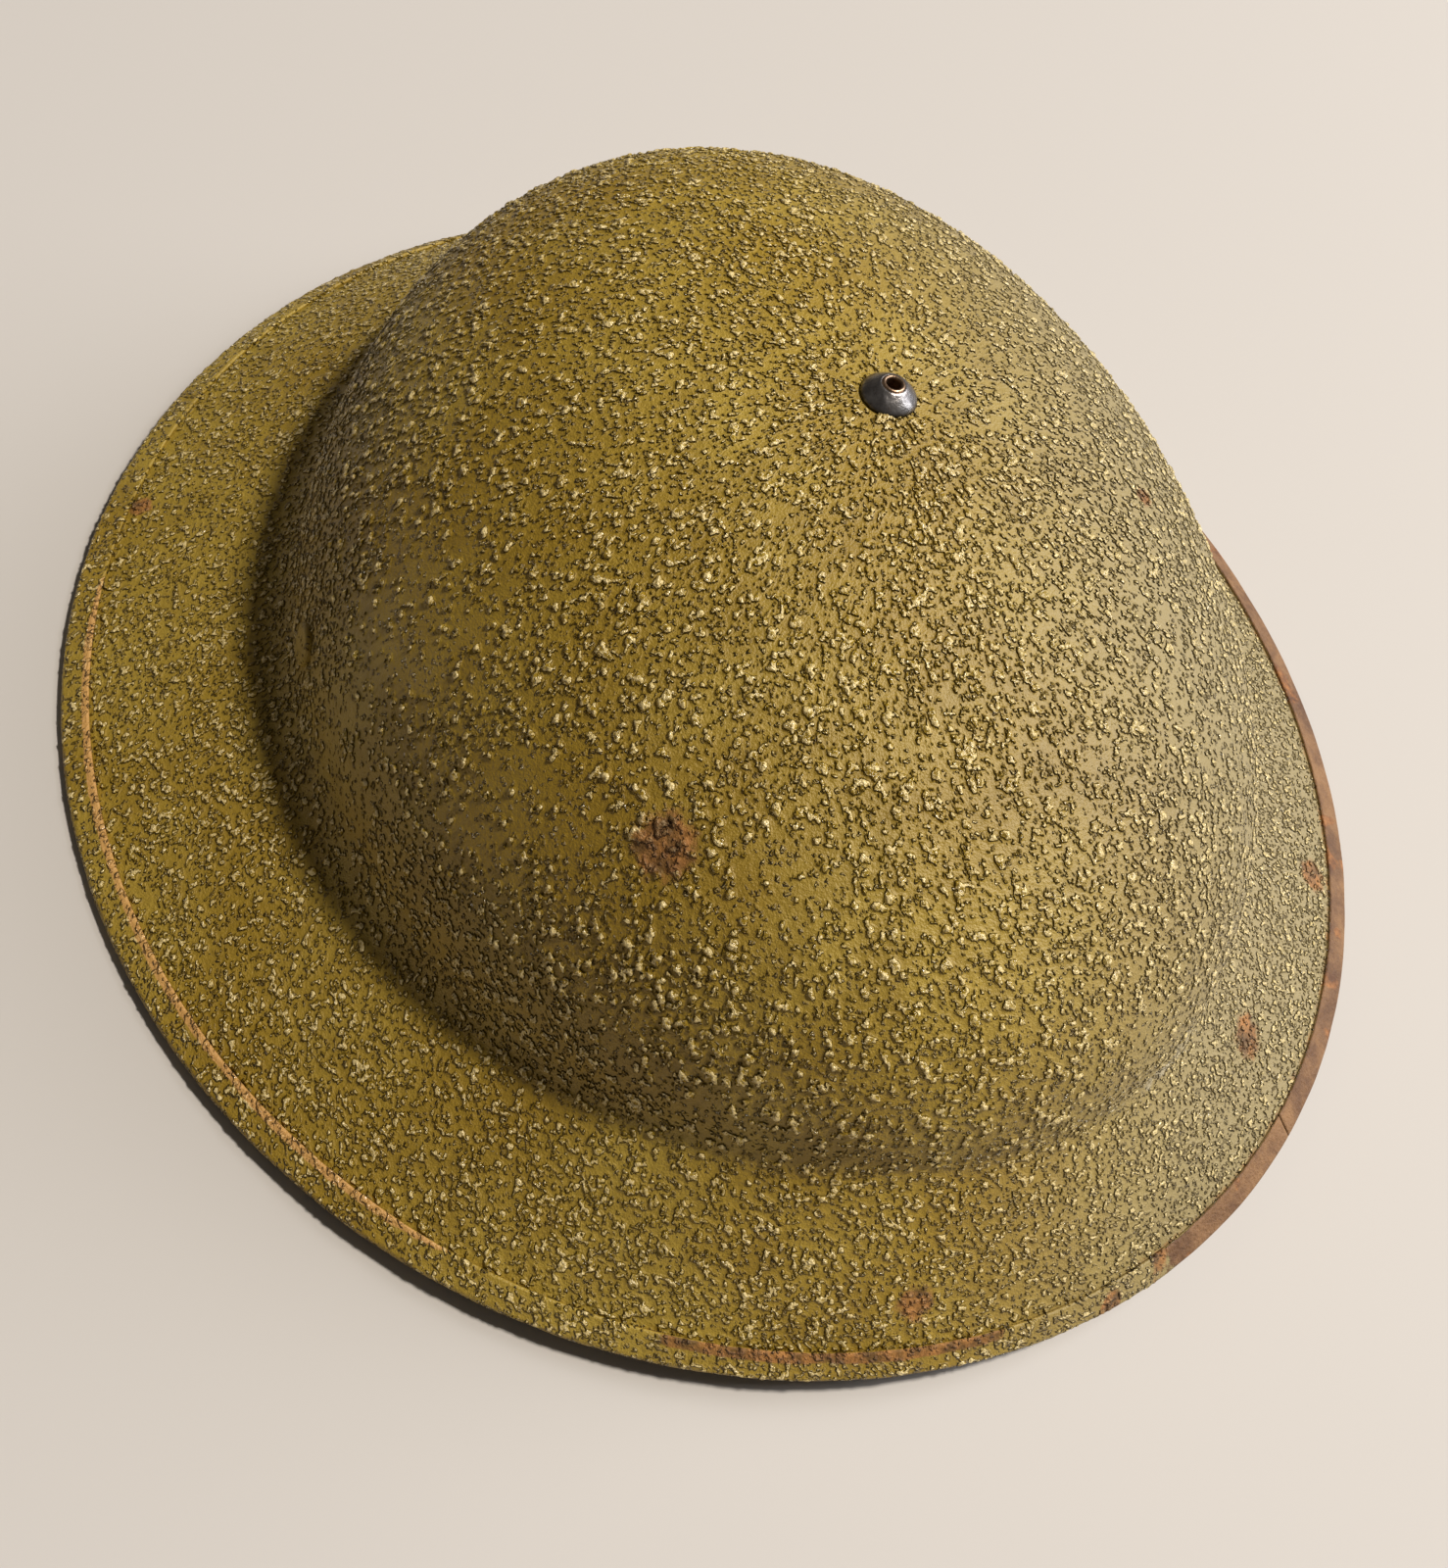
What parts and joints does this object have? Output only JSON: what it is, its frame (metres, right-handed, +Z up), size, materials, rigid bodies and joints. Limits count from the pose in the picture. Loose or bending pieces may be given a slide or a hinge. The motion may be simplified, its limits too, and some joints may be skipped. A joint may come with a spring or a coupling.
{
  "type": "steel trench helmet",
  "caption": "Shallow steel bowl with a wide brim, folded rim, riveted net liner and leather chin strap.",
  "frame": {"origin": "middle of the rim, on the surface that the brim stands on", "axes": "+X the wearer's left, +Y from front to rear, +Z up"},
  "size_m": [0.298, 0.311, 0.1094],
  "materials": {
    "shell_paint": "olive paint over coarse sawdust, satin",
    "rim_metal": "worn olive paint over rusty steel",
    "cap_metal": "dull dished cap, tarnished",
    "rivet_metal": "tarnished tubular rivet",
    "felt": "grey felt",
    "leather": "dry brown leather",
    "oilcloth": "black oilcloth, cracked satin",
    "twine": "cotton twine",
    "lace": "cotton lace",
    "tape": "woven cotton tape",
    "rubber": "aged rubber hose",
    "lug_steel": "olive painted sheet steel",
    "wire_steel": "dull steel wire",
    "strap_leather": "tan leather, worn",
    "strap_brass": "dull brass"
  },
  "bodies": {
    "helmet": {"shell": "shell_paint", "rim_strip": "rim_metal", "crown_cap": "cap_metal", "crown_rivet": "rivet_metal", "crown_washer": "rivet_metal", "crown_felt": "felt", "crown_patch": "leather", "liner_cradle": "oilcloth", "head_band": "oilcloth", "string_net": "twine", "draw_lace": "lace", "buffer_tape": "tape", "lug_rivet_left": "shell_paint", "lug_rivet_right": "shell_paint", "lug_washer_left": "lug_steel", "lug_washer_right": "lug_steel", "buffer_01": "rubber", "buffer_02": "rubber", "buffer_03": "rubber", "buffer_04": "rubber", "buffer_05": "rubber", "buffer_06": "rubber", "buffer_07": "rubber", "buffer_08": "rubber", "buffer_09": "rubber", "buffer_10": "rubber", "buffer_11": "rubber", "buffer_12": "rubber"},
    "chin_strap": {"lug_left": "lug_steel", "lug_right": "lug_steel", "strap_short": "strap_leather", "strap_long": "strap_leather", "strap_rivet_left": "strap_brass", "strap_rivet_right": "strap_brass", "keeper": "strap_leather"},
    "bail_left": {"bail_left": "wire_steel"},
    "bail_right": {"bail_right": "wire_steel"},
    "buckle": {"buckle": "strap_brass"}
  },
  "joints": [
    {"name": "chin_strap_swing", "type": "hinge", "parent": "helmet", "child": "chin_strap", "pos_m": [0, 0, 0.033], "axis": [-1, 0, 0], "range_deg": [0, 150]},
    {"name": "bail_left_tilt", "type": "hinge", "parent": "chin_strap", "child": "bail_left", "pos_m": [0.09445, 0.01279, 0.03069], "axis": [0, 0.1776, 0.9841], "range_deg": [-3, 3]},
    {"name": "bail_right_tilt", "type": "hinge", "parent": "chin_strap", "child": "bail_right", "pos_m": [-0.09445, 0.01279, 0.03069], "axis": [0, 0.1776, 0.9841], "range_deg": [-3, 3]},
    {"name": "buckle_slide", "type": "slide", "parent": "chin_strap", "child": "buckle", "axis": [1, 0, 0], "range_m": [-0.006, 0.006]}
  ]
}
